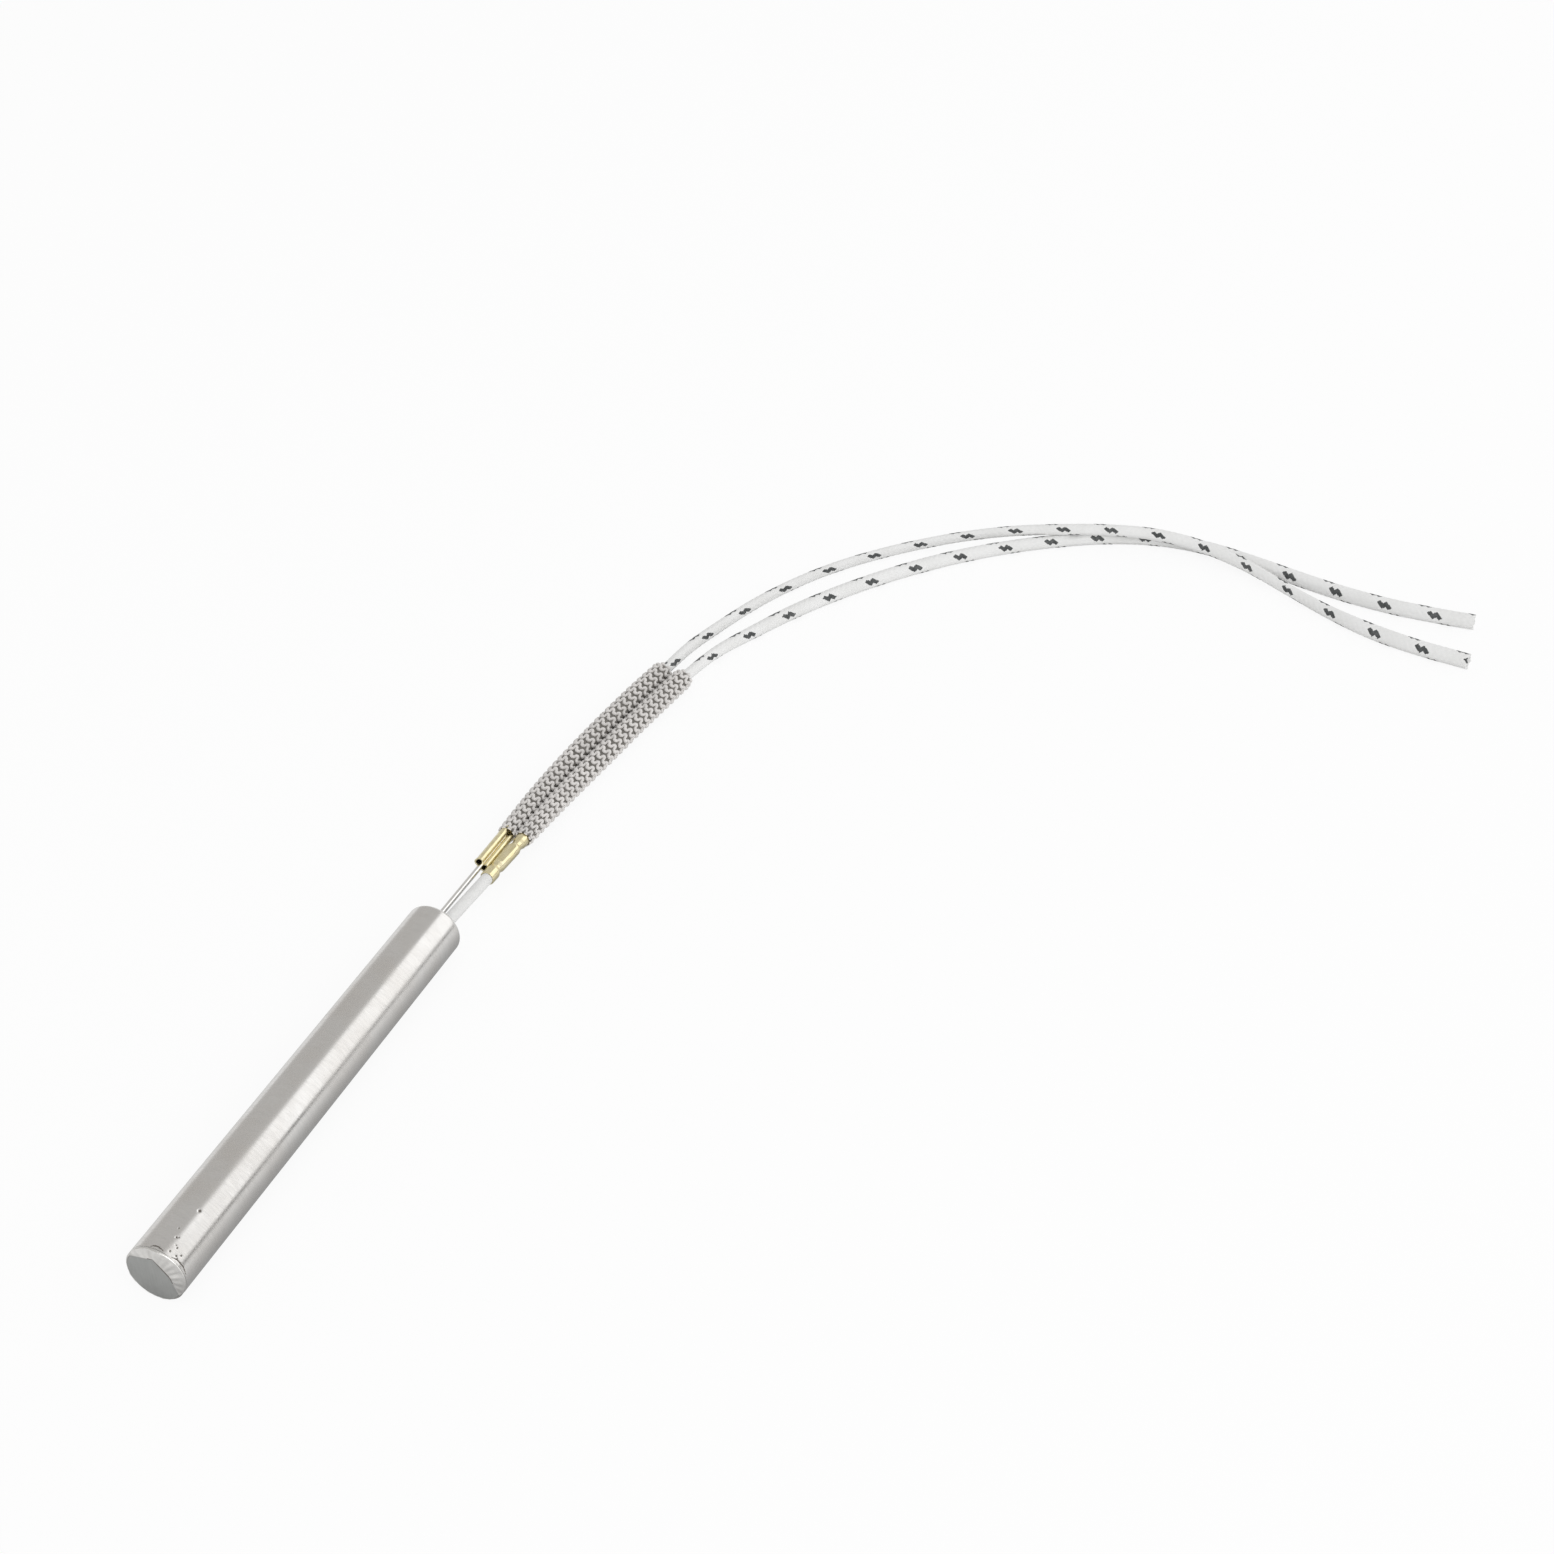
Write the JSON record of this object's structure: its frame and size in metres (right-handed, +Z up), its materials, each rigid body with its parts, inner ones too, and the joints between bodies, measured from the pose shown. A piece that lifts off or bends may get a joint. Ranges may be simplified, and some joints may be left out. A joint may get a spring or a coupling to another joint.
{
  "type": "cartridge heater",
  "caption": "Cartridge heater for dies and moulds: round stainless sheath with a ground closed end, crimped pins, knitted glass sleeves and braided leads.",
  "frame": {"origin": "on the sheath's axis, half way along the sheath", "axes": "+X along the sheath towards the leads, +Z up from the surface the heater lies on, +Y away from the side the leads curve to"},
  "size_m": [0.2619, 0.1533, 0.01],
  "materials": {
    "sheath_steel": "satin",
    "end_steel": "ground",
    "weld_steel": "ground",
    "core_ceramic": "matte",
    "resistance_alloy": "drawn",
    "magnesia": "matte",
    "pin_nickel": "bright",
    "pin_glass_sleeve": "matte",
    "crimp_brass": "bright stamped",
    "conductor_nickel": "stranded",
    "sleeve_glass": "knitted",
    "lead_braid": "braided"
  },
  "bodies": {
    "root": {"sheath": "sheath_steel", "end_disc": "end_steel", "end_weld": "weld_steel", "end_insulator": "core_ceramic", "ceramic_core": "core_ceramic", "resistance_winding": "resistance_alloy", "return_wire": "resistance_alloy", "magnesia_fill": "magnesia", "lead_end_plug": "core_ceramic", "terminal_pin_a": "pin_nickel", "terminal_pin_b": "pin_nickel", "pin_insulator": "pin_glass_sleeve", "crimp_a": "crimp_brass", "crimp_b": "crimp_brass", "conductor_a": "conductor_nickel", "conductor_b": "conductor_nickel", "sleeve_a": "sleeve_glass", "sleeve_b": "sleeve_glass", "lead_a": "lead_braid", "lead_b": "lead_braid"}
  },
  "joints": []
}
